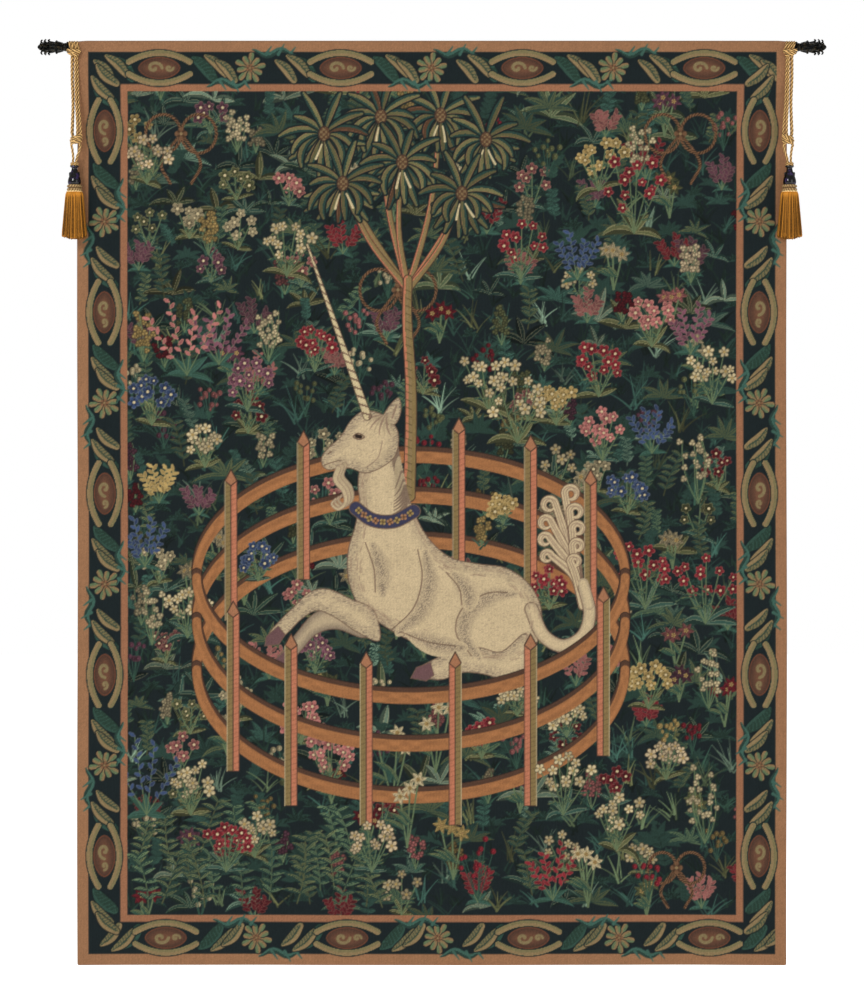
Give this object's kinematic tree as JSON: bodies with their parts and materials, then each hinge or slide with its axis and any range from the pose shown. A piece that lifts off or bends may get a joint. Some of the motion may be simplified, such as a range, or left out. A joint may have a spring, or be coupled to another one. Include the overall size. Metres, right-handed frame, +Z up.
{
  "type": "tapestry wall hanging",
  "caption": "Lined woven tapestry on a metal rod with leaf finials, corded tassels and hook wall brackets; a garden picture inside a leaf border.",
  "frame": {"origin": "on the wall's face, level with the rod's axis, midway along the rod", "axes": "+Z up, -Y out from the wall towards the viewer, +X to the viewer's right"},
  "size_m": [1.112, 0.0784, 1.3036],
  "materials": {
    "woven_cloth": "jacquard woven, matt",
    "lining_cloth": "plain cotton weave, matt",
    "sleeve_cloth": "plain cotton weave, matt",
    "rod_metal": "black, satin",
    "bracket_metal": "black powder coat",
    "screw_steel": "plain zinc",
    "finial_metal": "black with rubbed edges, semi-gloss",
    "gold_cord": "twisted rayon, soft sheen",
    "gold_braid": "ruched braid, soft sheen",
    "fringe_yarn": "rayon yarn, silky sheen",
    "lacquered_head": "black lacquer, high gloss"
  },
  "bodies": {
    "wall_brackets": {"left_wall_plate": "bracket_metal", "left_rod_hook": "bracket_metal", "left_upper_screw": "screw_steel", "left_lower_screw": "screw_steel", "right_wall_plate": "bracket_metal", "right_rod_hook": "bracket_metal", "right_upper_screw": "screw_steel", "right_lower_screw": "screw_steel"},
    "rod": {"rod": "rod_metal"},
    "panel": {"woven_panel": "woven_cloth", "panel_lining": "lining_cloth", "rod_sleeve": "sleeve_cloth", "left_cord_hitch": "gold_cord", "right_cord_hitch": "gold_cord"},
    "left_finial": {"left_finial_ferrule": "finial_metal", "left_finial_leaves": "finial_metal", "left_finial_bud": "finial_metal"},
    "left_cord": {"left_cord_outer_front": "gold_cord", "left_cord_outer_back": "gold_cord", "left_cord_inner_front": "gold_cord", "left_cord_inner_back": "gold_cord", "left_cord_knot": "gold_cord"},
    "left_tassel": {"left_cord_outer_leg": "gold_cord", "left_cord_inner_leg": "gold_cord", "left_tassel_collar": "gold_cord", "left_tassel_head": "lacquered_head", "left_tassel_band": "gold_braid", "left_tassel_skirt": "fringe_yarn"},
    "right_finial": {"right_finial_ferrule": "finial_metal", "right_finial_leaves": "finial_metal", "right_finial_bud": "finial_metal"},
    "right_cord": {"right_cord_outer_front": "gold_cord", "right_cord_outer_back": "gold_cord", "right_cord_inner_front": "gold_cord", "right_cord_inner_back": "gold_cord", "right_cord_knot": "gold_cord"},
    "right_tassel": {"right_cord_outer_leg": "gold_cord", "right_cord_inner_leg": "gold_cord", "right_tassel_collar": "gold_cord", "right_tassel_head": "lacquered_head", "right_tassel_band": "gold_braid", "right_tassel_skirt": "fringe_yarn"}
  },
  "joints": [
    {"name": "rod_lift", "type": "slide", "parent": "wall_brackets", "child": "rod", "axis": [0, 0, 1], "range_m": [0, 0.02]},
    {"name": "panel_swing", "type": "hinge", "parent": "rod", "child": "panel", "pos_m": [0, -0.025, 0], "axis": [-1, 0, 0], "range_deg": [-1, 40]},
    {"name": "left_finial_turn", "type": "hinge", "parent": "rod", "child": "left_finial", "pos_m": [-0.512, -0.025, 0], "axis": [-1, 0, 0], "continuous": true},
    {"name": "left_cord_swing", "type": "hinge", "parent": "panel", "child": "left_cord", "pos_m": [-0.5025, -0.0434, -0.0145], "axis": [-1, 0, 0], "range_deg": [0, 50]},
    {"name": "left_tassel_sway", "type": "hinge", "parent": "left_cord", "child": "left_tassel", "pos_m": [-0.5025, -0.04, -0.132], "axis": [0, 1, 0], "range_deg": [-30, 30]},
    {"name": "right_finial_turn", "type": "hinge", "parent": "rod", "child": "right_finial", "pos_m": [0.512, -0.025, 0], "axis": [1, 0, 0], "continuous": true},
    {"name": "right_cord_swing", "type": "hinge", "parent": "panel", "child": "right_cord", "pos_m": [0.5025, -0.0434, -0.0145], "axis": [-1, 0, 0], "range_deg": [0, 50]},
    {"name": "right_tassel_sway", "type": "hinge", "parent": "right_cord", "child": "right_tassel", "pos_m": [0.5025, -0.04, -0.132], "axis": [0, 1, 0], "range_deg": [-30, 30]}
  ]
}
